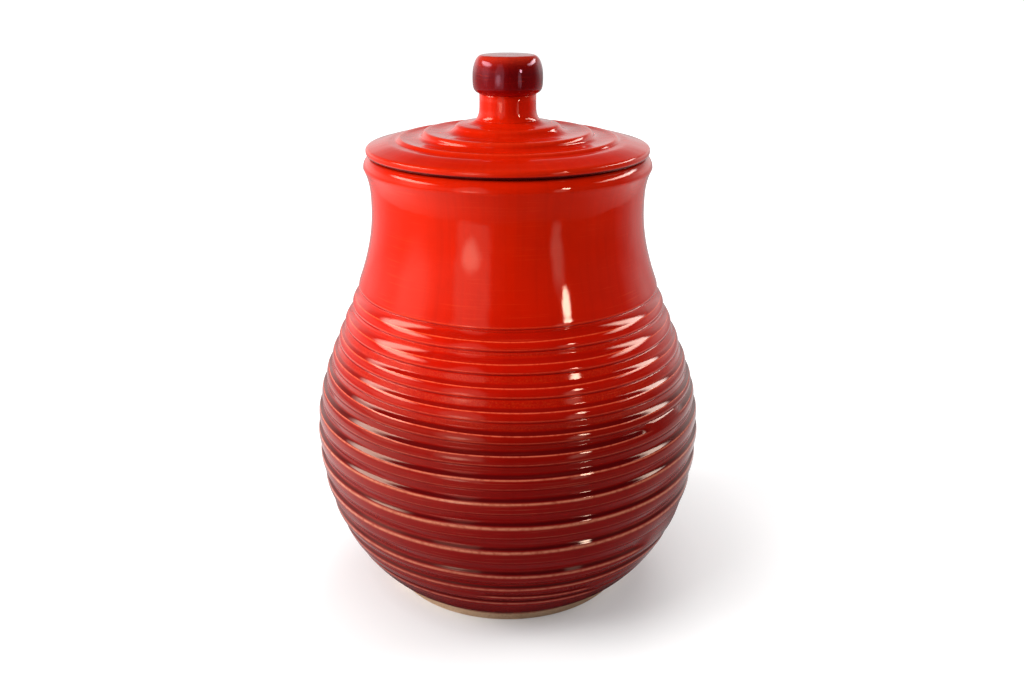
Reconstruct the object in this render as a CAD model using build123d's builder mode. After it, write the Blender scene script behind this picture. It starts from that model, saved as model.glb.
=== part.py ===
from build123d import *
from math import cos, pi, sqrt
import os

# Biscuit jar: a thrown stoneware pot with a ringed belly, a smooth neck and a loose stepped lid
# with a knob. Millimetres, +Z up, origin on the table at the middle of the foot.

# Foot: the ring of bare clay that the pot stands on
FOOT_HEIGHT = 5.0
FOOT_RADIUS = 59.5  # where it meets the table
FOOT_TOP_RADIUS = 61.8  # where the glaze stops
FOOT_WIDTH = 9.5
FOOT_EDGE = 0.8  # softened lower edges

# Pot, from the belly up to the land, which is the flat top that the lid rests on
BELLY_RADIUS = 92.7
BELLY_HEIGHT = 77.7  # table to the widest place
BELLY_TUCK = 9.3  # how far below the foot's top the belly's ellipse would close
NECK_RADIUS = 62.3
NECK_DROP = 23.0  # land down to the narrowest place
RIM_FLARE = 2.9  # how far the lip stands out past the neck
LIP_HEIGHT = 5.2  # land down to the lip's widest place
LAND_WIDTH = 2.4  # flat top that the lid rests on
LIP_FULLNESS = 0.6  # 0 is a straight bevel and 1 is a square corner
POT_HEIGHT = 209.0  # table to the land

# Pot, inside
WALL = 6.0
FLOOR = 6.5
FLOOR_ROUND = 12.0  # curve from the floor up into the wall
MOUTH_EDGE = 1.5  # softened inner edge of the mouth

# Rings cut round the belly: under each groove a ledge juts out and ends in a sharp edge
RING_DROP = 36.9  # narrowest place of the neck down to the first ring
RING_GAPS = (4.5, 8.7, 8.9, 9.1, 8.8, 8.0, 9.8, 10.6, 11.8, 12.6, 14.5, 9.3, 8.0, 5.1)  # going down
PLAIN_BAND = 10.0  # least height left without rings above the foot
GROOVE_DEPTH = 1.3
FIRST_DEPTH = 0.6  # the first ring is a fine line
EDGE_SET = 0.3  # each sharp edge stays this far inside the belly's outline
LEDGE_RISE = 0.2  # the ledge climbs this much towards the groove
LOBE_SWELL = 0.1  # each band's round stands this far out of the belly's outline

# Lid. Heights are above the land.
LID_SET_IN = 1.4  # the lid's edge stays this far inside the lip
LID_EDGE = 3.9  # thickness at the outside
LID_SHOULDER = 1.5  # round over the upper edge
LID_CORNER = 2.0  # round under the lower edge
STEP_INSETS = (15.5, 26.7)  # lid's edge in to the crest of each step
STEP_HEIGHTS = (7.6, 10.3)
STEP_RISES = (1.2, 2.5)
STEP_RUN = 1.8  # from a step's foot in to its crest
STEP_LEAN = 0.25  # how much of a riser's run is taken up at its foot, before it turns level
OUTER_SWELL = 0.45  # the slope outside the first step rounds up this much
DISH_DEPTH = 0.5  # hollow between a step's crest and what rises next
BOSS_RADIUS = 26.2  # foot of the boss that carries the knob
BOSS_TOP_RADIUS = 22.0
BOSS_SHOULDER = 13.0  # height of its shoulder
BOSS_RISE = 3.4
BOSS_CROWN = 2.0  # from the shoulder up to the stem's foot
LID_HOLLOW = 4.5  # how far the underside is hollowed at the middle
HOLLOW_FULLNESS = 0.6  # 0 is a cone and 1 is a flat ceiling with square corners

# Flange under the lid, which keeps the lid in the mouth
FLANGE_PLAY = 2.0  # gap to the mouth all round
FLANGE_THICKNESS = 4.8
FLANGE_DEPTH = 13.0
FLANGE_EDGE = 1.6  # softened lower edges

# Knob
STEM_RADIUS = 12.4
STEM_HEIGHT = 11.2
STEM_FLARE = 2.0  # round at the stem's foot
CAP_RADIUS = 15.3
CAP_HEIGHT = 16.6
CAP_COLLAR = 2.0  # height of the cone between the stem and the grip
CAP_UNDER_ROUND = 2.0
CAP_TOP_ROUND = 3.0
CAP_SWELL = 0.3  # how far the grip's side is barrelled

CURVE_STEPS = 12  # spans of a curve that follows a formula
SLOPE_SPAN = 1.0  # height over which the outline's slope is taken

land = POT_HEIGHT
neck_height = land - NECK_DROP
lip_height = land - LIP_HEIGHT
mouth_radius = NECK_RADIUS - WALL
land_radius = mouth_radius + MOUTH_EDGE + LAND_WIDTH
rim_radius = NECK_RADIUS + RIM_FLARE
lid_radius = rim_radius - LID_SET_IN
floor_height = FOOT_HEIGHT + FLOOR


def envelope(height):
    """Radius of the pot's outline, before the rings are cut."""
    if height > neck_height:
        share = (height - neck_height) / (lip_height - neck_height)
        return NECK_RADIUS + RIM_FLARE * share**3
    if height > BELLY_HEIGHT:
        share = (height - BELLY_HEIGHT) / (neck_height - BELLY_HEIGHT)
        return BELLY_RADIUS - (BELLY_RADIUS - NECK_RADIUS) * (1 - cos(pi * share)) / 2
    semi_height = BELLY_HEIGHT - FOOT_HEIGHT + BELLY_TUCK
    foot_share = (BELLY_HEIGHT - FOOT_HEIGHT) / semi_height
    semi_width = (BELLY_RADIUS - FOOT_TOP_RADIUS) / (1 - sqrt(1 - foot_share**2))
    share = (BELLY_HEIGHT - height) / semi_height
    return BELLY_RADIUS - semi_width * (1 - sqrt(1 - share**2))


def slope(height):
    """How fast the outline widens with height."""
    return (envelope(height + SLOPE_SPAN / 2) - envelope(height - SLOPE_SPAN / 2)) / SLOPE_SPAN


def inside(height):
    """Radius of the pot's hollow: the wall is the same thickness square to its slope."""
    return envelope(height) - WALL * sqrt(1 + slope(height) ** 2)


def heights(start, end):
    """Evenly spaced heights from start to end, both included."""
    return [start + (end - start) * step / CURVE_STEPS for step in range(CURVE_STEPS + 1)]


def ring_heights():
    """Height of each ring's edge, downwards. The last gap repeats on a taller pot."""
    found = [neck_height - RING_DROP]
    gaps = list(RING_GAPS)
    gap = gaps.pop(0)
    while found[-1] - gap > FOOT_HEIGHT + PLAIN_BAND:
        found.append(found[-1] - gap)
        if gaps:
            gap = gaps.pop(0)
    return found


def groove_corner(height, depth):
    """Innermost point of a groove whose edge is at this height."""
    return (envelope(height) - depth, height + LEDGE_RISE)


def groove_edge(height):
    """Sharp edge of the ledge under a groove."""
    return (envelope(height) - EDGE_SET, height)


def lobe(start, height, depth):
    """The round from an edge down to the next groove, and the ledge out to the next edge."""
    middle = (start[1] + height) / 2
    corner = groove_corner(height, depth)
    edge = groove_edge(height)
    ThreePointArc(start, (envelope(middle) + LOBE_SWELL, middle), corner)
    Line(corner, edge)
    return edge


def lid_step(start, crest, run, rise, swell):
    """From start in to a step: a stretch that rounds up by swell, or is hollow where swell is below
    0, and then the rounded riser up to the crest."""
    foot = (crest[0] + run, crest[1] - rise)
    middle = ((start[0] + foot[0]) / 2, (start[1] + foot[1]) / 2 + swell)
    ThreePointArc(start, middle, foot)
    Bezier(foot, (foot[0] - run * STEP_LEAN, crest[1]), crest)
    return crest


# Pot: half an outline turned about Z
rings = ring_heights()
first_edge = groove_edge(rings[0])
foot_top = (FOOT_TOP_RADIUS, FOOT_HEIGHT)
wall_foot = floor_height + FLOOR_ROUND
wall_heights = heights(wall_foot, neck_height)
floor_turn = inside(wall_foot) - slope(wall_foot) * FLOOR_ROUND
floor_edge = floor_turn - FLOOR_ROUND

with BuildPart() as jar_body:
    with BuildSketch(Plane.XZ):
        with BuildLine():
            Bezier(
                (land_radius, land),
                (land_radius + (rim_radius - land_radius) * LIP_FULLNESS, land),
                (rim_radius, lip_height + LIP_HEIGHT * LIP_FULLNESS),
                (rim_radius, lip_height),
            )
            Spline([(envelope(height), height) for height in heights(lip_height, neck_height)])
            shoulder_heights = heights(neck_height, rings[0] + LEDGE_RISE)
            shoulder = [(envelope(height), height) for height in shoulder_heights[:-1]]
            Spline(shoulder + [groove_corner(rings[0], FIRST_DEPTH)])
            Line(groove_corner(rings[0], FIRST_DEPTH), first_edge)
            edge = first_edge
            for ring in rings[1:]:
                edge = lobe(edge, ring, GROOVE_DEPTH)
            plain = (rings[-1] + FOOT_HEIGHT) / 2
            ThreePointArc(edge, (envelope(plain), plain), foot_top)
            Polyline(foot_top, (0, FOOT_HEIGHT), (0, floor_height), (floor_edge, floor_height))
            Bezier(
                (floor_edge, floor_height),
                (floor_turn, floor_height),
                (inside(wall_foot), wall_foot),
            )
            Spline([(inside(height), height) for height in wall_heights])
            Line((inside(neck_height), neck_height), (mouth_radius, land - MOUTH_EDGE))
            mouth_top = (mouth_radius + MOUTH_EDGE, land)
            RadiusArc((mouth_radius, land - MOUTH_EDGE), mouth_top, MOUTH_EDGE)
            Line(mouth_top, (land_radius, land))
        make_face()
    revolve(axis=Axis.Z)
jar_body.part.label = "jar_body"

# Foot ring: stands on the table and carries the pot's underside
foot_inner = FOOT_RADIUS - FOOT_WIDTH
with BuildPart() as foot_ring:
    with BuildSketch(Plane.XZ):
        with BuildLine():
            Polyline((foot_inner, 0), (FOOT_RADIUS, 0), foot_top, (foot_inner, FOOT_HEIGHT), close=True)
        make_face()
    revolve(axis=Axis.Z)
    fillet(foot_ring.edges().group_by(Axis.Z)[0], FOOT_EDGE)
foot_ring.part.label = "foot_ring"

# Lid plate: two steps and a boss, turned on top of a disc that is hollowed a little underneath
flange_outer = mouth_radius - FLANGE_PLAY
flange_inner = flange_outer - FLANGE_THICKNESS
stem_foot = land + BOSS_SHOULDER + BOSS_CROWN
stem_foot_radius = STEM_RADIUS + STEM_FLARE

with BuildPart() as lid_plate:
    with BuildSketch(Plane.XZ):
        with BuildLine():
            corner_start = (lid_radius - LID_CORNER, land)
            corner_end = (lid_radius, land + LID_CORNER)
            shoulder_start = (lid_radius, land + LID_EDGE - LID_SHOULDER)
            shoulder_end = (lid_radius - LID_SHOULDER, land + LID_EDGE)
            Line((flange_inner, land), corner_start)
            RadiusArc(corner_start, corner_end, -LID_CORNER)
            Line(corner_end, shoulder_start)
            RadiusArc(shoulder_start, shoulder_end, -LID_SHOULDER)
            point = shoulder_end
            swells = (OUTER_SWELL, -DISH_DEPTH)
            for inset, height, rise, swell in zip(STEP_INSETS, STEP_HEIGHTS, STEP_RISES, swells):
                crest = (lid_radius - inset, land + height)
                point = lid_step(point, crest, STEP_RUN, rise, swell)
            boss_run = BOSS_RADIUS - BOSS_TOP_RADIUS
            boss_crest = (BOSS_TOP_RADIUS, land + BOSS_SHOULDER)
            point = lid_step(point, boss_crest, boss_run, BOSS_RISE, -DISH_DEPTH)
            hollow_top = (0, land + LID_HOLLOW)
            hollow_turn = (flange_inner * HOLLOW_FULLNESS, land + LID_HOLLOW)
            Polyline(point, (stem_foot_radius, stem_foot), (0, stem_foot), hollow_top)
            Bezier(hollow_top, hollow_turn, (flange_inner, land))
        make_face()
    revolve(axis=Axis.Z)
lid_plate.part.label = "lid_plate"

# Lid flange: hangs from the plate inside the mouth
with BuildPart() as lid_flange:
    with BuildSketch(Plane.XY.offset(land - FLANGE_DEPTH)):
        Circle(flange_outer)
        Circle(flange_inner, mode=Mode.SUBTRACT)
    extrude(amount=FLANGE_DEPTH)
    fillet(lid_flange.edges().group_by(Axis.Z)[0], FLANGE_EDGE)
lid_flange.part.label = "lid_flange"

# Knob stem: a post that flares into the boss
stem_top = stem_foot + STEM_HEIGHT
with BuildPart() as knob_stem:
    with BuildSketch(Plane.XZ):
        with BuildLine():
            flare_top = (STEM_RADIUS, stem_foot + STEM_FLARE)
            flare_foot = (stem_foot_radius, stem_foot)
            Polyline(flare_top, (STEM_RADIUS, stem_top), (0, stem_top), (0, stem_foot), flare_foot)
            RadiusArc(flare_foot, flare_top, STEM_FLARE)
        make_face()
    revolve(axis=Axis.Z)
knob_stem.part.label = "knob_stem"

# Knob cap: a small barrel with a cone under it
cap_under = stem_top + CAP_COLLAR
cap_top = stem_top + CAP_HEIGHT
with BuildPart() as knob_cap:
    with BuildSketch(Plane.XZ):
        with BuildLine():
            under = (CAP_RADIUS - CAP_UNDER_ROUND, cap_under)
            side_low = (CAP_RADIUS, cap_under + CAP_UNDER_ROUND)
            side_high = (CAP_RADIUS, cap_top - CAP_TOP_ROUND)
            brow = (CAP_RADIUS - CAP_TOP_ROUND, cap_top)
            waist = (CAP_RADIUS + CAP_SWELL, (side_low[1] + side_high[1]) / 2)
            Polyline(brow, (0, cap_top), (0, stem_top), (STEM_RADIUS, stem_top), under)
            RadiusArc(under, side_low, -CAP_UNDER_ROUND)
            ThreePointArc(side_low, waist, side_high)
            RadiusArc(side_high, brow, -CAP_TOP_ROUND)
        make_face()
    revolve(axis=Axis.Z)
knob_cap.part.label = "knob_cap"

os.makedirs("parts", exist_ok=True)
for piece in (jar_body, foot_ring, lid_plate, lid_flange, knob_stem, knob_cap):
    export_step(piece.part, f"parts/{piece.part.label}.step")
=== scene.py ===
import math
import bpy
import numpy as np
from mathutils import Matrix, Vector


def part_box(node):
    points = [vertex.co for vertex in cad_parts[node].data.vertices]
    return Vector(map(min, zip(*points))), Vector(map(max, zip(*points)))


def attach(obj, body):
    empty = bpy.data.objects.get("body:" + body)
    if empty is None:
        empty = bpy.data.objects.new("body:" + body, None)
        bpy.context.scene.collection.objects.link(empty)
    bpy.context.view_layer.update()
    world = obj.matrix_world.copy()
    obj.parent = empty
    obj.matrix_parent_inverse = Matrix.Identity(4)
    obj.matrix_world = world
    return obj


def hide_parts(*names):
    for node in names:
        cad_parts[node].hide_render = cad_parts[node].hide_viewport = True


# The looks of a glazed stoneware biscuit jar. Outlines are worked out in millimetres, as a potter
# would measure them, and meshes are made in metres.

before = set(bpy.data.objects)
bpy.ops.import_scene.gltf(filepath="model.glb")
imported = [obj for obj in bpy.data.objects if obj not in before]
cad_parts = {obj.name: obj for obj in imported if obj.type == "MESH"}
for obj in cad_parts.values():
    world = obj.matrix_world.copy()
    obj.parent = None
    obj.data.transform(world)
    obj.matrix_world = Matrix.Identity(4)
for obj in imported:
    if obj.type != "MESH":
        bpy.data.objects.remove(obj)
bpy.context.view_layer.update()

MM = 0.001
COLUMNS = 320  # points round the jar
TURN = np.linspace(-math.pi, math.pi, COLUMNS, endpoint=False)  # 0 is the front and + is to the right


# ---------------------------------------------------------------- outlines, in millimetres

def top_of(node):
    """Height of a node's highest point."""
    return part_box(node)[1][2] / MM


def radius_of(node):
    """Largest radius of a node."""
    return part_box(node)[1][0] / MM


FOOT_TOP = top_of("foot_ring")
FOOT_TOP_RADIUS = radius_of("foot_ring")
FOOT_RADIUS = 59.5
FOOT_INNER = 50.0
BELLY_RADIUS = 92.7
BELLY_HEIGHT = 77.7
BELLY_TUCK = 9.3
NECK_RADIUS = 62.3
LAND = top_of("jar_body")
NECK_HEIGHT = LAND - 23.0
RIM_RADIUS = 65.2
LIP_HEIGHT = LAND - 5.2
LIP_FULLNESS = 0.6  # 0 is a straight bevel and 1 is a square corner
LAND_RADIUS = 60.2
MOUTH_RADIUS = 56.3
MOUTH_EDGE = 1.5
WALL = 6.0
FLOOR = FOOT_TOP + 6.5
FLOOR_ROUND = 12.0
FINGER_DEPTH = 0.25  # of the throwing marks inside the pot
FINGER_PITCH = 0.75  # how far they turn, in radians for each millimetre up
FOOT_EDGE = 0.8
# The glaze's rolled end, out and up from the edge of the foot's top
GLAZE_ROLL = ((0.27, 0.75), (0.36, 0.40), (0.21, 0.12), (0.0, 0.0))
HUB = 8.0  # radius of the row of points in a piece's flat end, out of sight

LINE_SHARE = 0.45  # where the fine line lies in each band
ROLL_IN = (0.27, 0.7)  # how far a band rolls in above its fine line, and more by the line's depth
EDGE_SET = (0.02, 0.14)  # how far a sharp edge lies inside the outline, and more by its shoulder
WANDER = 0.16  # how far a line or ring wanders up and down round the jar
DEPTH_WANDER = 0.10  # share by which a ring's depth changes round the jar
LEAST_LIP = 0.25
COVE_TURN = ((127, 136), (4.0, 1.5))  # two heights, and how sharply a cove turns at its top there
SLOPE_IN = 0.7  # share of the slope above a cove that is straight, and the rest is hollowed

# Each ring: height of its edge at the front, how much further down that is on the right, depth of
# the cove above it and the cove's height, height over which the band below rounds over, width of
# its pale edge, depth of the fine line in that band, and where it starts and stops, in degrees
# round from the front. A ring that goes all round has no stops.
RINGS = (
    (144.6, 0.3, 0.78, 3.6, 2.2, 0.38, 0.42, None),
    (135.9, 0.3, 0.70, 3.2, 2.8, 0.38, 0.45, None),
    (127.0, 0.8, 0.66, 2.1, 1.5, 0.40, 0.40, None),
    (117.9, 1.6, 0.75, 2.1, 1.5, 0.42, 0.25, None),
    (109.1, 2.0, 0.95, 2.35, 1.4, 0.42, 0.22, None),
    (101.1, 0.5, 1.10, 2.5, 1.4, 0.45, 0.25, (-300, 42)),
    (91.3, 0.2, 1.20, 2.6, 1.5, 0.60, 0.16, None),
    (80.7, 0.2, 1.35, 2.6, 1.6, 0.80, 0.14, None),
    (68.9, 0.3, 1.40, 2.6, 1.7, 1.00, 0.12, None),
    (56.3, 0.6, 1.40, 2.6, 1.7, 1.05, 0.10, None),
    (41.8, 2.2, 1.35, 2.5, 1.7, 1.00, 0.10, (-290, 44)),
    (32.5, 1.1, 1.15, 2.1, 1.6, 0.90, 0.05, None),
    (26.6, 2.6, 0.70, 1.3, 1.1, 0.70, 0.05, (-8, 27)),
    (21.4, 2.2, 0.90, 1.7, 1.3, 0.80, 0.0, (-200, 31)),
)
FIRST_LINE = (149.1, 0.2, 0.42)  # height, drop to the right and depth of the line above the rings
FIRST_ROLL = (2.0, 0.3, 0.25)  # how far above it the pot starts to roll in, and how far in above and below it
EMBER_HEIGHTS = (104.0, 112.0, 141.0, 146.0)  # the lower part of each band is mottled between these
POOL_AND_SHADE_HEIGHTS = ((105, 135), (1, 0.35))  # two heights, and how dark a cove is there: pooled glaze with painted shade

# The pale upper edge of a band: how far down, as a share of its width, and how pale
PALE_EDGE = ((0.12, 1.0), (0.35, 1.0), (0.6, 0.8), (0.85, 0.35), (1.1, 0.1))
BAND_SHARES = (0.1, 0.22, 0.36, 0.5, 0.65, 0.8, 0.92)  # rows between it and the fine line
# A fine line: how far below its middle, share of its depth, how pale, and how dark, the dark being partly
# pooled glaze and partly painted shade in its groove
FINE_LINE = (
    (-0.95, 0.0, 0.0, 0.0), (-0.80, 0.0, 0.5, 0.0), (-0.62, 0.04, 0.3, 0.0), (-0.35, 0.1, 0.0, 0.1),
    (-0.17, 0.35, 0.0, 0.6), (0.0, 0.65, 0.0, 0.9), (0.17, 0.45, 0.0, 0.5), (0.32, 0.15, 0.0, 0.1),
)
LINE_FOOT = 0.32  # how far it reaches below its middle
FULL_LINE = 0.3  # a line this deep has its full colour
SLOPE_SHARES = (0.15, 0.3, 0.45, 0.6, 0.75, 0.9)  # rows down the slope in to a cove
COVE_SHARES = (1.0, 0.94, 0.88, 0.82, 0.76, 0.69, 0.61, 0.52, 0.43, 0.34, 0.26, 0.18, 0.12, 0.07, 0.03)


def ripple(seed, size, waves):
    """A small unevenness round the jar, the same every run."""
    random = np.random.default_rng(seed)
    total = np.zeros(COLUMNS)
    for wave in waves:
        total += np.sin(wave * TURN + random.uniform(0, 2 * math.pi)) * random.uniform(0.5, 1.0)
    return total * size / math.sqrt(len(waves))


def envelope(height):
    """Radius of the pot's smooth outline at each height."""
    height = np.asarray(height, float)
    semi_height = BELLY_HEIGHT - FOOT_TOP + BELLY_TUCK
    foot_share = (BELLY_HEIGHT - FOOT_TOP) / semi_height
    semi_width = (BELLY_RADIUS - FOOT_TOP_RADIUS) / (1 - math.sqrt(1 - foot_share**2))
    low = np.clip((BELLY_HEIGHT - height) / semi_height, 0, 1)
    belly = BELLY_RADIUS - semi_width * (1 - np.sqrt(1 - low**2))
    up = np.clip((height - BELLY_HEIGHT) / (NECK_HEIGHT - BELLY_HEIGHT), 0, 1)
    shoulder = BELLY_RADIUS - (BELLY_RADIUS - NECK_RADIUS) * (1 - np.cos(np.pi * up)) / 2
    flare = np.clip((height - NECK_HEIGHT) / (LIP_HEIGHT - NECK_HEIGHT), 0, 1)
    return np.where(height < BELLY_HEIGHT, belly, shoulder + (RIM_RADIUS - NECK_RADIUS) * flare**3)


def slope(height):
    """How fast the outline widens with height."""
    return envelope(np.asarray(height) + 0.5) - envelope(np.asarray(height) - 0.5)


def off_outline(height, offset):
    """Radius and height of points that stand off the outline, square to it."""
    lean = slope(height)
    length = np.sqrt(1 + lean**2)
    return envelope(height) + offset / length, height - offset * lean / length


def fade(stops, soft=7.0):
    """1 where a ring is cut and 0 where it isn't."""
    if stops is None:
        return np.ones(COLUMNS)
    turn = np.degrees(TURN)
    cut = np.zeros(COLUMNS)
    for lap in (-360, 0, 360):
        start = np.clip((turn + lap - stops[0]) / soft + 0.5, 0, 1)
        stop = np.clip((stops[1] - turn - lap) / soft + 0.5, 0, 1)
        cut = np.maximum(cut, start * stop)
    return cut * cut * (3 - 2 * cut)


def wandering(seed, height, drop):
    """Height of a line or ring all the way round: lower on the right by its drop, and a little uneven."""
    return height - drop * np.sin(TURN) + ripple(seed, WANDER, (3, 4, 6, 9))


class Outline:
    """Rows of points down an outline, each with marks: edge where the glaze breaks pale, pool_and_shade
    where it lies deep in a groove (pooled glaze with painted shade) or where the lid meets the land (painted
    shade), and ember where it is mottled."""

    MARKS = ("edge", "pool_and_shade", "ember")

    def __init__(self):
        self.radius, self.height = [], []
        self.marks = {name: [] for name in self.MARKS}

    def add(self, radius, height, *marks):
        levels = list(marks) + [0.0] * (len(self.MARKS) - len(marks))
        self.radius.append(np.broadcast_to(np.asarray(radius, float), (COLUMNS,)))
        self.height.append(np.broadcast_to(np.asarray(height, float), (COLUMNS,)))
        for name, level in zip(self.MARKS, levels):
            self.marks[name].append(np.broadcast_to(np.asarray(level, float), (COLUMNS,)))

    def add_in(self, height, inward, *marks):
        """A row that lies inside the pot's outline, square to it."""
        radius, height = off_outline(height, -inward)
        self.add(radius, height, *marks)


class Ring:
    """One ring round the belly, all the way round the jar."""

    def __init__(self, number, height, drop, depth, cove, shoulder, width, line, stops):
        self.level = wandering(number, height, drop)
        self.cut = fade(stops)
        self.edge_set = EDGE_SET[0] + EDGE_SET[1] * shoulder
        self.depth = self.edge_set + depth * (1 + ripple(50 + number, DEPTH_WANDER, (2, 5)))
        self.bend = float(np.interp(height, *COVE_TURN))
        self.lip = max(LEAST_LIP, 1.3 * width - 0.3)  # height of the rounded lip at the cove's foot
        self.cove = cove
        self.shoulder = shoulder
        self.width = width
        self.line = line

    def hollow(self, share):
        """How deep the cove is at a share of its height: 0 at the sharp edge and 1 at its top."""
        places = np.linspace(0, 1, 81)
        steep = (1 - places**self.bend) * np.minimum(1, (places * self.cove + 0.08) / self.lip)
        depths = np.concatenate([[0.0], np.cumsum(steep[1:] + steep[:-1])])
        return float(np.interp(share, places, depths / depths[-1]))

    def rounded(self, down, middle):
        """How far in the band below the ring lies, from its sharp edge down to its fine line."""
        over = self.edge_set * np.maximum(1 - down / self.shoulder, 0) ** 2 * self.cut
        share = np.maximum(down - self.shoulder, 0) / (middle - self.shoulder)
        return over + (ROLL_IN[0] + ROLL_IN[1] * self.line) * share**2


def pale_edge(outline, ring, middle):
    """The upper edge of a band, where the glaze is thin."""
    for share, pale in PALE_EDGE:
        down = share * ring.width
        outline.add_in(ring.level - down, ring.rounded(down, middle), pale * ring.cut)


def fine_line(outline, height, line, curve):
    """A thin groove, darkened as pooled glaze and painted shade, and above it a faint pale edge. Curve gives
    how far in the band lies near it.
    """
    weight = min(line / FULL_LINE, 1)
    for down, share, edge, pool_and_shade in FINE_LINE:
        outline.add_in(height - down, share * line + curve(down), edge * weight, pool_and_shade * weight)


def groove(outline, top, start, ring, sunk):
    """From a height below top, the gentle slope in to the cove, and the cove out to the sharp edge."""
    reach = top - ring.level - ring.cove - start
    ember = float(np.interp(np.mean(ring.level), EMBER_HEIGHTS, (0, 1, 1, 0)))
    pool_and_shade_level = float(np.interp(np.mean(ring.level), *POOL_AND_SHADE_HEIGHTS))
    for share in SLOPE_SHARES:
        up = SLOPE_IN * (1 - share) + (1 - SLOPE_IN) * (1 - share) ** 2
        outline.add_in(top - start - reach * share, sunk * up + ring.depth * ring.cut * (1 - up), 0, 0, ember)
    for share in COVE_SHARES:
        height = ring.cove * share
        inward = ring.edge_set + (ring.depth - ring.edge_set) * ring.hollow(share)
        pale = max(0.0, 1 - height / (0.6 * ring.lip))
        # the cove is darkened towards its ledge: pooled glaze and painted shade of the groove
        pool_and_shade = min(1.0, max(0.0, height / ring.lip - 0.6) / 0.4, (0.9 - share) / 0.3) if share < 0.9 else 0.0
        marks = (pale * ring.cut, pool_and_shade * pool_and_shade_level * ring.cut, ember * max(0.0, 4 * share - 3))
        outline.add_in(ring.level + height, inward * ring.cut, *marks)
    outline.add_in(ring.level, ring.edge_set * ring.cut, ring.cut)


def band(outline, above, below):
    """One band between two rings: two rounds with a fine line between them, and the groove."""
    tall = above.level - below.level
    middle = tall * LINE_SHARE
    pale_edge(outline, above, middle)
    start = 1.1 * above.width
    for share in BAND_SHARES:
        down = start + (middle - 0.95 - start) * share
        outline.add_in(above.level - down, above.rounded(down, middle))
    line_level = above.level - middle
    fine_line(outline, line_level, above.line, lambda down: above.rounded(middle + min(down, 0), middle))
    groove(outline, above.level, middle + LINE_FOOT, below, ROLL_IN[0] + ROLL_IN[1] * above.line)


def inside(height):
    """Radius of the pot's hollow at each height."""
    return envelope(height) - WALL * np.sqrt(1 + slope(height) ** 2)


def bezier(corners, steps):
    """Points on a Bezier curve through an outline's corners: how far along, radius and height."""
    last = len(corners) - 1
    found = []
    for t in np.linspace(0, 1, steps):
        weights = [math.comb(last, i) * t**i * (1 - t) ** (last - i) for i in range(last + 1)]
        found.append((t, *(sum(w * corner[way] for w, corner in zip(weights, corners)) for way in (0, 1))))
    return found


def pot_outline():
    """The pot from the middle of its floor, up the inside, over the rim and down to its underside."""
    outline = Outline()
    wall_foot = FLOOR + FLOOR_ROUND
    foot_radius = float(inside(wall_foot))
    turn = foot_radius - float(slope(wall_foot)) * FLOOR_ROUND
    floor_edge = turn - FLOOR_ROUND
    for share in (0.0, 0.15, 0.35, 0.55, 0.75, 0.9):
        outline.add(floor_edge * share, FLOOR)
    for _, radius, height in bezier(((floor_edge, FLOOR), (turn, FLOOR), (foot_radius, wall_foot)), 9):
        outline.add(radius, height)
    for height in np.linspace(wall_foot, NECK_HEIGHT, 60)[1:]:
        share = (height - wall_foot) / (NECK_HEIGHT - wall_foot)
        finger = FINGER_DEPTH * math.sin(height * FINGER_PITCH) * math.sin(math.pi * share)
        outline.add(inside(height) + finger, height)
    for height in np.linspace(NECK_HEIGHT, LAND - MOUTH_EDGE, 7)[1:]:
        outline.add(MOUTH_RADIUS, height)
    for angle in np.linspace(0, math.pi / 2, 6)[1:]:
        radius = MOUTH_RADIUS + MOUTH_EDGE * (1 - math.cos(angle))
        outline.add(radius, LAND - MOUTH_EDGE * (1 - math.sin(angle)), math.sin(2 * angle) * 0.5)
    # painted shade of the gap under the lid: the land and the top of the lip are darkened
    outline.add(LAND_RADIUS - 0.6, LAND, 0, 2.0)
    lip_out = LAND_RADIUS + (RIM_RADIUS - LAND_RADIUS) * LIP_FULLNESS
    lip_up = LIP_HEIGHT + (LAND - LIP_HEIGHT) * LIP_FULLNESS
    lip = ((LAND_RADIUS, LAND), (lip_out, LAND), (RIM_RADIUS, lip_up), (RIM_RADIUS, LIP_HEIGHT))
    for t, radius, height in bezier(lip, 14):
        outline.add(radius, height, 0, max(0.0, 2 - t / 0.15))

    line_height, line_drop, line = FIRST_LINE
    tall, inward, sunk = FIRST_ROLL
    first_line = wandering(31, line_height, line_drop)

    def rolled(down):
        """How far in the pot lies above its first line."""
        return inward * ((min(down, 0) + tall) / tall) ** 2

    for share in np.linspace(0, 1, 44)[1:-1]:
        outline.add_in(LIP_HEIGHT + (first_line + tall - LIP_HEIGHT) * share, 0.0)
    for down in (-1.6, -1.3):
        outline.add_in(first_line - down, rolled(down))
    fine_line(outline, first_line, line, rolled)
    rings = [Ring(number, *values) for number, values in enumerate(RINGS)]
    groove(outline, first_line, 0.45, rings[0], sunk)
    for above, below in zip(rings, rings[1:]):
        band(outline, above, below)
    last = rings[-1]
    pale_edge(outline, last, math.inf)
    start = last.level - last.shoulder
    for share in np.linspace(0, 1, 14)[:-1]:
        outline.add_in(start + (FOOT_TOP + 0.9 - start) * share, 0.0)
    roll = ripple(90, 0.15, (3, 7, 11))
    for radius, height in GLAZE_ROLL:
        outline.add(FOOT_TOP_RADIUS + radius, FOOT_TOP + height + roll * height, 0.5)
    for share in (0.97, 0.85, 0.7, 0.45, 0.2, 0.0):
        outline.add(FOOT_TOP_RADIUS * share, FOOT_TOP)
    return outline


def simple_outline(points, wobble=0.0, seed=0):
    """An outline that is the same all round, but for a little wobble. Points are (radius, height, *marks)."""
    outline = Outline()
    uneven = ripple(seed, wobble, (1, 2, 3)) if wobble else 0.0
    for radius, height, *marks in points:
        outline.add(np.maximum(radius + uneven * min(radius / 20, 1), 0) if radius else 0.0, height, *marks)
    return outline


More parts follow.
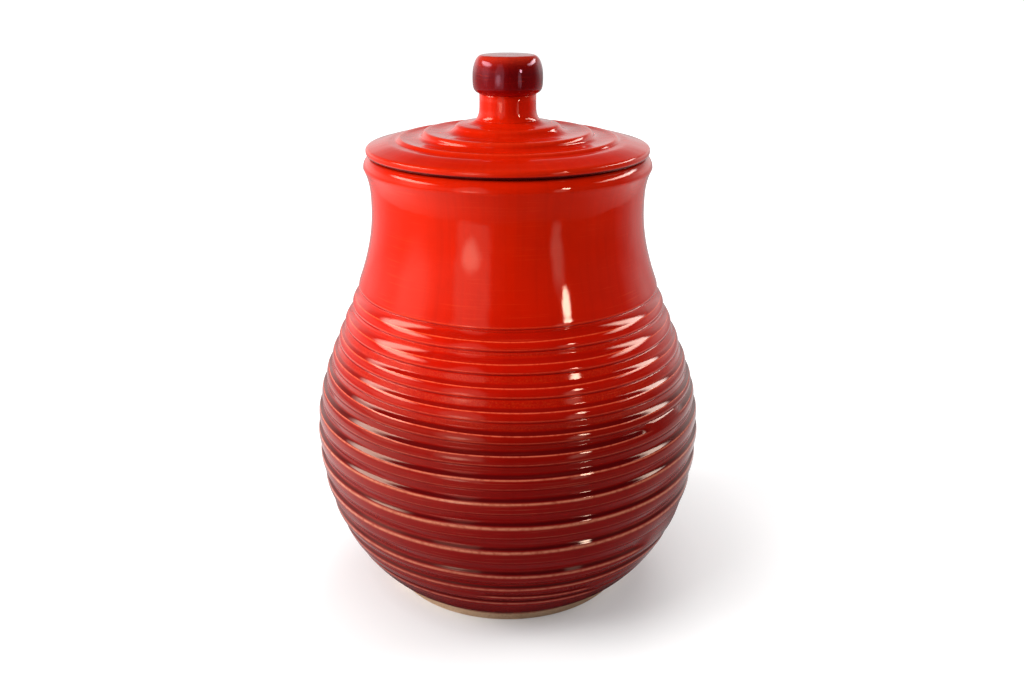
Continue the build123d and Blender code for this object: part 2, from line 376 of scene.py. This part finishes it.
def arc(centre, radius, start, stop, steps, *marks):
    """Points on an arc of an outline. Angles are in degrees, 0 outwards and 90 up."""
    found = []
    for angle in np.radians(np.linspace(start, stop, steps)):
        found.append((centre[0] + radius * math.cos(angle), centre[1] + radius * math.sin(angle), *marks))
    return found


def smooth(points, spans=5):
    """A smooth curve through a few points of an outline (centripetal Catmull-Rom)."""
    spots = [np.array(point, float) for point in points]
    spots = [2 * spots[0] - spots[1]] + spots + [2 * spots[-1] - spots[-2]]
    found = [tuple(spots[1])]
    for a, b, c, d in zip(spots, spots[1:], spots[2:], spots[3:]):
        spans_between = [math.sqrt(np.linalg.norm((q - p)[:2])) for p, q in ((a, b), (b, c), (c, d))]
        knots = np.cumsum([0.0] + spans_between)
        for t in np.linspace(knots[1], knots[2], spans + 1)[1:]:
            ab = a + (b - a) * (t - knots[0]) / (knots[1] - knots[0])
            bc = b + (c - b) * (t - knots[1]) / (knots[2] - knots[1])
            cd = c + (d - c) * (t - knots[2]) / (knots[3] - knots[2])
            abc = ab + (bc - ab) * (t - knots[0]) / (knots[2] - knots[0])
            bcd = bc + (cd - bc) * (t - knots[1]) / (knots[3] - knots[1])
            found.append(tuple(abc + (bcd - abc) * (t - knots[1]) / (knots[2] - knots[1])))
    return found


# ---------------------------------------------------------------- meshes

def turned(name, outline, closed=False):
    """A mesh turned about Z. A closed outline is a ring; any other starts and ends on the axis."""
    radius, height = np.array(outline.radius), np.array(outline.height)
    if not closed:
        radius[0], radius[-1] = 0.0, 0.0
    rows = len(radius)
    spots = np.stack([radius * np.sin(TURN), -radius * np.cos(TURN), height], axis=2).reshape(-1, 3) * MM
    keep = np.ones(rows * COLUMNS, bool)
    index = np.arange(rows * COLUMNS).reshape(rows, COLUMNS)
    if not closed:
        keep[index[0, 1:]] = False
        keep[index[-1, 1:]] = False
        index[0, :] = index[0, 0]
        index[-1, :] = index[-1, 0]
    index = (np.cumsum(keep) - 1)[index]
    faces = []
    for row in range(rows if closed else rows - 1):
        here, below = index[row], index[(row + 1) % rows]
        for column in range(COLUMNS):
            right = (column + 1) % COLUMNS
            corners = [here[column], below[column], below[right], here[right]]
            faces.append([int(c) for i, c in enumerate(corners) if c not in corners[:i]])
    mesh = bpy.data.meshes.new(name)
    mesh.from_pydata(spots[keep].tolist(), [], faces)
    for mark, levels in outline.marks.items():
        layer = mesh.attributes.new(mark, "FLOAT", "POINT")
        layer.data.foreach_set("value", np.array(levels).ravel()[keep].astype(np.float32))
    mesh.update()
    mesh.shade_smooth()
    piece = bpy.data.objects.new(name, mesh)
    bpy.context.scene.collection.objects.link(piece)
    return piece


# ---------------------------------------------------------------- materials

class Nodes:
    """The node tree of a material or world, with short calls for the nodes used here."""

    def __init__(self, material):
        self.material = material
        material.use_nodes = True
        self.tree = material.node_tree
        self.shader = self.tree.nodes.get("Principled BSDF")

    def put(self, kind, **inputs):
        node = self.tree.nodes.new(kind)
        for name, value in inputs.items():
            self.set(node.inputs[name.replace("_", " ")], value)
        return node

    def set(self, socket, value):
        if isinstance(value, bpy.types.NodeSocket):
            self.tree.links.new(value, socket)
        else:
            socket.default_value = value

    def fix(self, name, value):
        """A shader value that is the same all over the surface."""
        self.shader.inputs[name].default_value = value

    def place(self):
        """Where the point is on its piece, in metres."""
        return self.tree.nodes.new("ShaderNodeTexCoord").outputs["Object"]

    def height(self):
        """Height of the point, in millimetres."""
        spot = self.put("ShaderNodeSeparateXYZ", Vector=self.place())
        return self.math("DIVIDE", spot.outputs["Z"], MM)

    def noise(self, scale, detail=2.0, roughness=0.5):
        node = self.put("ShaderNodeTexNoise", Vector=self.place(), Scale=scale, Detail=detail)
        node.inputs["Roughness"].default_value = roughness
        return node.outputs["Fac"]

    def around(self, turns, heights, detail=2.0):
        """Noise that runs round the jar: turns sets how often it changes round it, heights up it."""
        spot = self.put("ShaderNodeSeparateXYZ", Vector=self.place())
        flat = self.put("ShaderNodeCombineXYZ", X=spot.outputs["X"], Y=spot.outputs["Y"])
        outward = self.tree.nodes.new("ShaderNodeVectorMath")
        outward.operation = "NORMALIZE"
        self.set(outward.inputs[0], flat.outputs["Vector"])
        way = self.put("ShaderNodeSeparateXYZ", Vector=outward.outputs["Vector"])
        where = self.put(
            "ShaderNodeCombineXYZ",
            X=self.math("MULTIPLY", way.outputs["X"], turns),
            Y=self.math("MULTIPLY", way.outputs["Y"], turns),
            Z=self.math("MULTIPLY", spot.outputs["Z"], heights),
        )
        node = self.put("ShaderNodeTexNoise", Vector=where.outputs["Vector"], Scale=1.0, Detail=detail)
        return node.outputs["Fac"]

    def math(self, operation, *values):
        node = self.tree.nodes.new("ShaderNodeMath")
        node.operation = operation
        for socket, value in zip(node.inputs, values):
            self.set(socket, value)
        return node.outputs["Value"]

    def span(self, value, low, high, to_low=0.0, to_high=1.0, way="LINEAR"):
        """Value, from low..high to to_low..to_high, held at both ends."""
        node = self.tree.nodes.new("ShaderNodeMapRange")
        node.interpolation_type = way
        for socket, number in zip(node.inputs, (value, low, high, to_low, to_high)):
            self.set(socket, number)
        return node.outputs["Result"]

    def mix(self, share, first, second, blend="MIX"):
        node = self.tree.nodes.new("ShaderNodeMix")
        node.data_type = "RGBA"
        node.blend_type = blend
        self.set(node.inputs["Factor"], share)
        self.set(node.inputs[6], first)
        self.set(node.inputs[7], second)
        return node.outputs[2]

    def ramp(self, value, stops):
        """Colours along a value. Stops are (place, colour)."""
        node = self.tree.nodes.new("ShaderNodeValToRGB")
        self.set(node.inputs["Fac"], value)
        elements = node.color_ramp.elements
        while len(elements) < len(stops):
            elements.new(1.0)
        for element, (place, colour) in zip(elements, stops):
            element.position = place
            element.color = (*colour, 1)
        return node.outputs["Color"]

    def levels(self, value, stops):
        """Greys along a value. Stops are (place, level)."""
        return self.ramp(value, [(place, (level,) * 3) for place, level in stops])

    def mark(self, name):
        """A number that the mesh carries at each point."""
        node = self.tree.nodes.new("ShaderNodeAttribute")
        node.attribute_name = name
        return node.outputs["Fac"]

    def bump(self, height, strength, distance, normal=None):
        node = self.put("ShaderNodeBump", Height=height, Strength=strength, Distance=distance)
        if normal is not None:
            self.set(node.inputs["Normal"], normal)
        return node.outputs["Normal"]


# Glaze colours by height, in millimetres: dark below, orange-red on the neck and the lid
BODY_COLOURS = (
    (0, (0.190, 0.0060, 0.0060)),
    (40, (0.225, 0.0050, 0.0050)),
    (75, (0.255, 0.0040, 0.0035)),
    (95, (0.265, 0.0035, 0.0020)),
    (108, (0.300, 0.0045, 0.0012)),
    (120, (0.510, 0.0060, 0.0010)),
    (140, (0.650, 0.0070, 0.0006)),
    (155, (0.710, 0.0105, 0.0004)),
    (190, (0.740, 0.0130, 0.0004)),
    (252, (0.730, 0.0130, 0.0004)),
)
EDGE_COLOURS = (
    (0, (0.34, 0.065, 0.045)),
    (30, (0.46, 0.110, 0.070)),
    (50, (0.57, 0.165, 0.100)),
    (75, (0.60, 0.185, 0.105)),
    (95, (0.66, 0.140, 0.075)),
    (125, (0.93, 0.100, 0.040)),
    (155, (0.97, 0.080, 0.022)),
    (252, (0.95, 0.060, 0.015)),
)
CAP_COLOURS = (
    (0, (0.42, 0.0040, 0.0020)),
    (236, (0.36, 0.0035, 0.0020)),
    (239, (0.20, 0.0025, 0.0030)),
    (245, (0.145, 0.0020, 0.0030)),
    (248, (0.22, 0.0040, 0.0030)),
    (252, (0.42, 0.0120, 0.0080)),
)
# dark glaze: for the darker runs and clouds, and for the painted shade in grooves and under the lid
DARK = (0.050, 0.002, 0.003)
EMBER = (0.80, 0.060, 0.010)
CLAY = (0.62, 0.42, 0.27)
CLAY_DARK = (0.48, 0.30, 0.18)
GRIT = (0.16, 0.08, 0.045)
TALLEST = 252.0
COLOUR_DRIFT = 14.0  # the glaze's colours wander up and down by up to half of this


def glaze(name, body, edges, gloss_tint):
    """Glossy glaze whose colour follows height. It breaks pale over edges, is darkened in grooves as pooled
    glaze and painted shade, and where the lid meets the land as painted shade.
    """
    n = Nodes(bpy.data.materials.new(name))
    drift = n.math("MULTIPLY", n.math("SUBTRACT", n.noise(16, 3), 0.5), COLOUR_DRIFT)
    height = n.math("DIVIDE", n.math("ADD", n.height(), drift), TALLEST)
    colour = n.ramp(height, [(place / TALLEST, tone) for place, tone in body])
    edge_colour = n.ramp(height, [(place / TALLEST, tone) for place, tone in edges])
    # fine streaks that run round the pot
    streak = n.span(n.around(2.2, 1300), 0.58, 0.72, 0.0, 0.22)
    colour = n.mix(n.math("MULTIPLY", streak, n.span(n.around(5, 60), 0.35, 0.65)), colour, edge_colour)
    # mottling
    speckle = n.span(n.noise(1300, 3, roughness=0.65), 0.44, 0.66, 0.0, 0.30)
    colour = n.mix(n.math("MULTIPLY", speckle, n.mark("ember")), colour, (*EMBER, 1))
    # darker runs and clouds
    drip = n.span(n.around(26, 12, 3), 0.45, 0.75, 0.0, 0.22)
    colour = n.mix(drip, colour, n.mix(0.35, colour, (*DARK, 1)))
    cloud = n.span(n.noise(30, 4, roughness=0.6), 0.42, 0.70, 0.0, 0.22)
    colour = n.mix(cloud, colour, n.mix(0.4, colour, (*DARK, 1)))
    # dark where it lies thick in grooves, with painted shade there and under the lid, and pale where it is
    # thin
    pooled_and_shaded = n.math("MULTIPLY", n.mark("pool_and_shade"), n.span(height, 0.3, 0.6, 0.8, 0.5))
    colour = n.mix(pooled_and_shaded, colour, (*DARK, 1))
    broken = n.span(n.around(40, 500, 4), 0.28, 0.55, 0.45, 1.0)
    colour = n.mix(n.math("MULTIPLY", n.mark("edge"), broken), colour, edge_colour)
    n.set(n.shader.inputs["Base Color"], colour)
    n.set(n.shader.inputs["Roughness"], n.span(n.noise(90, 4), 0.3, 0.7, 0.05, 0.09))
    n.fix("IOR", 1.5)
    n.fix("Specular IOR Level", 0.5)
    n.fix("Specular Tint", (*gloss_tint, 1))
    # a thrown pot is never quite even
    swell = n.bump(n.around(3.0, 55), 0.35, 0.0006)
    ripples = n.bump(n.noise(120, 2), 0.14, 0.0003, swell)
    n.set(n.shader.inputs["Normal"], n.bump(n.around(2.2, 900), 0.08, 0.0001, ripples))
    return n.material


def clay():
    """Bare fired stoneware: matt, speckled and a little scratched by turning."""
    n = Nodes(bpy.data.materials.new("bare_clay"))
    grain = n.noise(900, 4, roughness=0.7)
    colour = n.mix(n.span(n.noise(60, 4), 0.3, 0.7), (*CLAY, 1), (*CLAY_DARK, 1))
    colour = n.mix(n.span(grain, 0.56, 0.62, 0, 0.5), colour, (*GRIT, 1))
    n.set(n.shader.inputs["Base Color"], colour)
    n.set(n.shader.inputs["Roughness"], n.span(grain, 0.3, 0.7, 0.7, 0.9))
    n.fix("Specular IOR Level", 0.3)
    turning = n.bump(n.around(1.5, 900), 0.4, 0.0003)
    n.set(n.shader.inputs["Normal"], n.bump(grain, 0.5, 0.0002, turning))
    return n.material


# ---------------------------------------------------------------- the jar

red_glaze = glaze("red_glaze", BODY_COLOURS, EDGE_COLOURS, (1.0, 0.70, 0.52))
oxblood_glaze = glaze("oxblood_glaze", CAP_COLOURS, EDGE_COLOURS, (1.0, 0.55, 0.72))
bare_clay = clay()


def finish(piece, body, node, slot, *materials):
    """Gives a piece its materials, sets it on its body and puts it in the place of a CAD node."""
    for material in materials:
        piece.data.materials.append(material)
    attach(piece, body)
    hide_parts(node)
    return piece


pot = finish(turned("pot", pot_outline()), "jar", "jar_body", "red_glaze", red_glaze, bare_clay)
for face in pot.data.polygons:
    if face.center[2] < (FOOT_TOP + 0.1) * MM:
        face.material_index = 1

FOOT_MIDDLE = 55.0
foot_points = [(FOOT_INNER + FOOT_EDGE, 0.0), (FOOT_MIDDLE, 0.0), (FOOT_RADIUS - FOOT_EDGE, 0.0)]
foot_points += arc((FOOT_RADIUS - FOOT_EDGE, FOOT_EDGE), FOOT_EDGE, -90, 15, 6)[1:]
foot_points += [(60.4, 2.4), (61.2, 3.8), (FOOT_TOP_RADIUS - 0.1, FOOT_TOP), (FOOT_MIDDLE, FOOT_TOP)]
foot_points += [(FOOT_INNER, FOOT_TOP), (FOOT_INNER, FOOT_TOP / 2)]
foot_points += arc((FOOT_INNER + FOOT_EDGE, FOOT_EDGE), FOOT_EDGE, 180, 270, 5)[:-1]
finish(turned("foot", simple_outline(foot_points), closed=True), "jar", "foot_ring", "bare_clay", bare_clay)

LID_WOBBLE = 0.12  # how far the lid is from round
LID_EDGE = 3.9  # thickness at the outside
LID_SHOULDER = 1.5  # round over the upper edge
LID_CORNER = 2.0  # round under the lower edge
LID_HOLLOW = 4.5  # how far the underside is hollowed at the middle
LID_RADIUS = radius_of("lid_plate")
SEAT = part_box("lid_plate")[0][2] / MM
STEM_FOOT = top_of("lid_plate")
STEM_TOP = top_of("knob_stem")
CAP_TOP = top_of("knob_cap")
FLANGE_OUTER = radius_of("lid_flange")
FLANGE_INNER = FLANGE_OUTER - 4.8
FLANGE_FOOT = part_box("lid_flange")[0][2] / MM
FLANGE_MIDDLE = SEAT - 6.0
FLANGE_EDGE = 1.6

# The lid's top from its shoulder in to the knob: radius, height above the seat, and pale edge
LID_TOP = (
    # outer slope
    (62.7, 3.85, 0.1), (60.0, 4.60, 0.0), (56.5, 5.55, 0.0), (53.8, 6.12, 0.0), (51.6, 6.25, 0.0),
    # first step
    (50.3, 6.45, 0.0), (49.5, 7.15, 0.1), (48.6, 7.65, 0.4), (47.4, 7.60, 0.1),
    (45.0, 7.25, 0.0), (42.0, 7.10, 0.0), (40.0, 7.30, 0.0),
    # second step
    (38.8, 8.00, 0.0), (38.2, 9.20, 0.1), (37.4, 10.1, 0.3), (36.3, 10.3, 0.2),
    (34.5, 10.1, 0.0), (31.5, 9.75, 0.0), (28.3, 9.65, 0.0),
    # boss
    (26.7, 9.9, 0.0), (25.3, 10.5, 0.0), (24.2, 11.4, 0.0), (23.4, 12.4, 0.1), (22.4, 13.0, 0.1),
    (20.5, 13.3, 0.0), (17.8, 13.6, 0.0), (15.7, 14.2, 0.0), (14.4, 15.0, 0.0),
)


def lid_points():
    """The lid from the middle of its underside, out to its edge and up its steps to the knob."""
    points = []
    for share in np.linspace(0, 1, 18):
        points.append((FLANGE_INNER * share, SEAT + LID_HOLLOW * (1 - share**2.2)))
    # painted shade of the gap under the lid: its lower edge is darkened where it meets the land
    points += [(FLANGE_OUTER, SEAT), (58.0, SEAT, 0, 2), (LID_RADIUS - LID_CORNER, SEAT, 0, 2)]
    corner = (LID_RADIUS - LID_CORNER, SEAT + LID_CORNER)
    points += arc(corner, LID_CORNER, -75, -30, 4, 0, 2) + arc(corner, LID_CORNER, -15, 0, 2)
    shoulder = (LID_RADIUS - LID_SHOULDER, SEAT + LID_EDGE - LID_SHOULDER)
    points += arc(shoulder, LID_SHOULDER, 0, 68, 8, 0.1)
    points += [(radius, SEAT + height, edge) for radius, height, edge in smooth(LID_TOP)]
    points += [(HUB, STEM_FOOT), (0.0, STEM_FOOT)]
    return points


lid = turned("lid", simple_outline(lid_points(), LID_WOBBLE, 7))
finish(lid, "lid", "lid_plate", "red_glaze", red_glaze)

flange_points = [(FLANGE_OUTER, SEAT), (FLANGE_INNER, SEAT), (FLANGE_INNER, FLANGE_MIDDLE)]
flange_points += arc((FLANGE_INNER + FLANGE_EDGE, FLANGE_FOOT + FLANGE_EDGE), FLANGE_EDGE, 180, 270, 6)
flange_points += arc((FLANGE_OUTER - FLANGE_EDGE, FLANGE_FOOT + FLANGE_EDGE), FLANGE_EDGE, 270, 360, 6)
flange_points += [(FLANGE_OUTER, FLANGE_MIDDLE)]
flange = turned("flange", simple_outline(flange_points[::-1]), closed=True)
finish(flange, "lid", "lid_flange", "bare_clay", bare_clay)

# The stem's flare: radius, and height above the lid
STEM_FLARE = ((14.4, 0.05), (13.8, 0.8), (13.3, 1.8), (12.95, 3.0), (12.75, 4.4), (12.7, 6.0))
stem_points = [(0.0, STEM_FOOT), (HUB, STEM_FOOT), (14.3, STEM_FOOT)]
stem_points += smooth([(radius, STEM_FOOT + height) for radius, height in STEM_FLARE], 3)
stem_points += [(12.65, STEM_FOOT + 8.0), (12.7, STEM_TOP - 0.1), (12.6, STEM_TOP)]
stem_points += [(HUB, STEM_TOP), (0.0, STEM_TOP)]
finish(turned("knob_post", simple_outline(stem_points)), "lid", "knob_stem", "red_glaze", red_glaze)

# The grip's side from the stem up to its flat top: radius, height above the stem, and pale edge
CAP_SIDE = (
    (12.7, 0.0, 0.0), (13.5, 0.5, 0.0), (14.4, 1.1, 0.0), (15.1, 2.1, 0.0), (15.45, 3.5, 0.0),
    (15.6, 5.6, 0.0), (15.6, 7.8, 0.0), (15.45, 10.0, 0.0), (15.0, 12.2, 0.0), (14.2, 14.3, 0.1),
    (13.2, 15.7, 0.3), (12.1, 16.4, 0.3), (10.8, 16.6, 0.1),
)
cap_points = [(0.0, STEM_TOP), (HUB, STEM_TOP)]
cap_points += [(radius, min(STEM_TOP + height, CAP_TOP), edge) for radius, height, edge in smooth(CAP_SIDE)]
cap_points += [(6.0, CAP_TOP), (0.0, CAP_TOP)]
grip = turned("knob_grip", simple_outline(cap_points))
finish(grip, "lid", "knob_cap", "oxblood_glaze", oxblood_glaze)


# ---------------------------------------------------------------- floor, light and camera

AIM = Vector((0.0, 0.0, 0.1176))
CAMERA_DISTANCE = 0.485
CAMERA_ELEVATION = math.radians(20.65)
LIGHT_DISTANCE = 1.5
FILL = 0.24  # brightness of the room's even light
FLOOR_WHITE = 0.8
GLOW_REACH = 2.0
# How much the floor glows to the camera, so that it looks white: radius in metres, level
FLOOR_GLOW = ((0.07, 0.18), (0.10, 0.34), (0.15, 0.50), (0.40, 0.60), (GLOW_REACH, 0.90))
FLOOR_NEAR = 0.6  # the glaze mirrors the floor this far out
FLOOR_FAR = 12.0

# What the glaze mirrors of the studio, by azimuth from the camera (+ to its right), in degrees. White
# paper stands at the sides and behind. The floor is in the jar's shade in front of it.
ROOM_VIEW = (
    (-180, 0.7), (-155, 1.0), (-141, 1.1), (-128, 0.95), (-114, 0.65), (-60, 0.5), (-20, 0.2), (0, 0.0),
    (97, 0.1), (114, 0.6), (128, 1.1), (155, 1.0), (180, 0.7),
)
ROOM_RISE = (  # elevation in degrees, level
    (-14, 0.5), (-6, 0.5), (2, 1.0), (12, 1.0), (20, 0.4), (30, 0.1), (40, 0.02),
)
FLOOR_VIEW = (
    (-180, 0.25), (-163, 0.4), (-148, 0.8), (-120, 1.3), (-92, 1.3), (-72, 1.0), (-48, 0.7), (-33, 0.45),
    (0, 0.1), (60, 0.2), (92, 0.6), (123, 1.3), (148, 0.8), (163, 0.4), (180, 0.25),
)
SHADE_VIEW = (  # close to the jar
    (-180, 0.2), (-125, 0.2), (-100, 0.5), (-85, 0.8), (-60, 0.5), (-40, 0.3), (-20, 0.12), (0, 0.1),
    (40, 0.1), (60, 0.25), (80, 0.6), (100, 0.3), (120, 0.15), (180, 0.1),
)
SHADE_REACH = (0.11, 0.18)  # radius in metres at which SHADE_VIEW gives way to FLOOR_VIEW
FLOOR_REACH = (  # radius in metres, level
    (0.063, 0.1), (0.08, 0.7), (0.12, 0.7), (0.18, 0.7), (0.24, 0.75), (0.4, 0.8), (FLOOR_NEAR, 0.5),
)

# Windows and lamps that the glaze mirrors, as soft ovals: azimuth and elevation of the middle, half
# width and half height, all in degrees, how soft the edge is, and brightness
WINDOWS = (
    (-88, 29, 23, 7, 0.4, 9.0),  # softbox on the left
    (110, 27, 27, 5, 0.4, 11.0),  # softbox on the right
    (-28, 0, 14, 40, 0.2, 0.7),  # tall dim panel beside the camera
    (-29, -4, 7, 7, 0.5, 3.0),  # bright spot in it
    (-78, 10, 14, 18, 0.5, 0.6),  # dim panel on the left
    (40, -4, 5, 14, 0.5, 1.3),  # dim strip below the lamp
    (45, 14, 3.2, 4.5, 0.25, 30.0),  # lamp
)


def direction(azimuth, elevation):
    """Unit vector. Azimuth 0 is towards the camera and + is to its right, in degrees."""
    a, e = math.radians(azimuth), math.radians(elevation)
    return Vector((math.sin(a) * math.cos(e), -math.cos(a) * math.cos(e), math.sin(e)))


def shading_lamp(name, azimuth, elevation, size, level):
    """An area light that lights the jar and isn't seen or mirrored. A white card facing it would be
    as bright as level."""
    light = bpy.data.lights.new(name, "AREA")
    light.size = size
    light.energy = level * 4 * math.pi * LIGHT_DISTANCE**2
    holder = bpy.data.objects.new(name, light)
    bpy.context.scene.collection.objects.link(holder)
    holder.location = AIM + direction(azimuth, elevation) * LIGHT_DISTANCE
    holder.rotation_euler = direction(azimuth, elevation).to_track_quat("Z", "Y").to_euler()
    holder.visible_camera = False
    holder.visible_glossy = False


shading_lamp("key", -80, 15, 0.9, 0.76)
shading_lamp("top_left", -60, 50, 0.9, 0.38)
shading_lamp("right", 95, 30, 0.7, 0.25)
shading_lamp("behind", 165, 35, 0.8, 0.25)


def azimuth_of(n, x, y):
    """Azimuth of x and y, in degrees."""
    return n.math("DEGREES", n.math("ARCTAN2", x, n.math("MULTIPLY", y, -1.0)))


def by_azimuth(n, azimuth, stops):
    """Levels by azimuth."""
    return n.levels(n.span(azimuth, -180, 180), [((place + 180) / 360, level) for place, level in stops])


def floor_paper():
    """White paper that looks evenly white to the camera. In the glaze it shows the studio's light."""
    n = Nodes(bpy.data.materials.new("floor_white"))
    n.fix("Base Color", (FLOOR_WHITE, FLOOR_WHITE, FLOOR_WHITE, 1))
    n.fix("Roughness", 0.9)
    n.fix("Specular IOR Level", 0.0)
    n.fix("Emission Color", (1, 1, 1, 1))
    spot = n.put("ShaderNodeSeparateXYZ", Vector=n.place()).outputs
    square = n.math("ADD", n.math("POWER", spot["X"], 2.0), n.math("POWER", spot["Y"], 2.0))
    across = n.math("POWER", square, 0.5)
    rays = n.put("ShaderNodeLightPath").outputs
    far = n.math("DIVIDE", across, GLOW_REACH)
    glow = n.levels(far, [(radius / GLOW_REACH, level) for radius, level in FLOOR_GLOW])
    n.set(n.shader.inputs["Emission Strength"], n.math("MULTIPLY", rays["Is Camera Ray"], glow))
    nearness = n.math("DIVIDE", across, FLOOR_NEAR)
    reach = n.levels(nearness, [(radius / FLOOR_NEAR, level) for radius, level in FLOOR_REACH])
    azimuth = azimuth_of(n, spot["X"], spot["Y"])
    shade, open_floor = by_azimuth(n, azimuth, SHADE_VIEW), by_azimuth(n, azimuth, FLOOR_VIEW)
    view = n.mix(n.span(across, *SHADE_REACH), shade, open_floor)
    view = n.mix(1.0, view, reach, "MULTIPLY")
    mirrored = n.put("ShaderNodeEmission", Color=view)
    both = n.put("ShaderNodeMixShader", Fac=rays["Is Glossy Ray"])
    n.set(both.inputs[1], n.shader.outputs["BSDF"])
    n.set(both.inputs[2], mirrored.outputs["Emission"])
    n.set(n.tree.nodes["Material Output"].inputs["Surface"], both.outputs["Shader"])
    return n.material


def floor_ring(name, inner, outer, material, sides=96):
    """A flat ring of the floor. An inner radius of 0 makes a disc."""
    spots, faces = [], []
    for turn in np.linspace(0, 2 * math.pi, sides, endpoint=False):
        way = np.array((math.cos(turn), math.sin(turn), 0.0))
        spots += [tuple(radius * way) for radius in (outer, inner) if radius]
    if inner:
        faces = [(2 * i, 2 * ((i + 1) % sides), 2 * ((i + 1) % sides) + 1, 2 * i + 1) for i in range(sides)]
    else:
        faces = [tuple(range(sides))]
    mesh = bpy.data.meshes.new(name)
    mesh.from_pydata(spots, [], faces)
    mesh.materials.append(material)
    ring = bpy.data.objects.new(name, mesh)
    bpy.context.scene.collection.objects.link(ring)
    return ring


paper = floor_paper()
floor_ring("floor_near", 0.0, FLOOR_NEAR, paper)
floor_ring("floor_far", FLOOR_NEAR, FLOOR_FAR, paper).visible_glossy = False


def studio(world):
    """White to the camera, an even fill for the jar's colour, and the studio's view in its gloss."""
    n = Nodes(world)
    rays = n.put("ShaderNodeLightPath").outputs
    way = n.tree.nodes.new("ShaderNodeTexCoord").outputs["Generated"]
    sky = n.put("ShaderNodeSeparateXYZ", Vector=way).outputs
    azimuth = azimuth_of(n, sky["X"], sky["Y"])
    elevation = n.math("DEGREES", n.math("ARCSINE", sky["Z"]))
    rise = n.levels(n.span(elevation, -90, 90), [((place + 90) / 180, level) for place, level in ROOM_RISE])
    view = n.mix(1.0, by_azimuth(n, azimuth, ROOM_VIEW), rise, "MULTIPLY")
    for middle, rise_to, wide, tall, soft, glow in WINDOWS:
        across = n.math("POWER", n.math("DIVIDE", n.math("SUBTRACT", azimuth, float(middle)), wide), 2.0)
        up = n.math("POWER", n.math("DIVIDE", n.math("SUBTRACT", elevation, float(rise_to)), tall), 2.0)
        off = n.math("SQRT", n.math("ADD", across, up))
        inside_it = n.span(off, 1 - soft, 1 + soft, 1.0, 0.0, "SMOOTHSTEP")
        view = n.mix(inside_it, view, (glow, glow, glow, 1), "ADD")
    light = n.mix(rays["Is Glossy Ray"], (FILL, FILL, FILL, 1), view)
    light = n.mix(rays["Is Camera Ray"], light, (1, 1, 1, 1))
    n.set(n.tree.nodes["Background"].inputs["Color"], light)
    world.cycles.sampling_method = "NONE"


studio_world = bpy.data.worlds.new("studio")
bpy.context.scene.world = studio_world
studio(studio_world)

camera_data = bpy.data.cameras.new("camera")
camera_data.sensor_width = 36.0
camera_data.lens = 35.17
camera_data.shift_x = 0.0041
camera = bpy.data.objects.new("camera", camera_data)
bpy.context.scene.collection.objects.link(camera)
away = Vector((0, -math.cos(CAMERA_ELEVATION), math.sin(CAMERA_ELEVATION)))
camera.location = AIM + away * CAMERA_DISTANCE
camera.rotation_euler = away.to_track_quat("Z", "Y").to_euler()
bpy.context.scene.camera = camera
bpy.context.scene.view_settings.view_transform = "Standard"
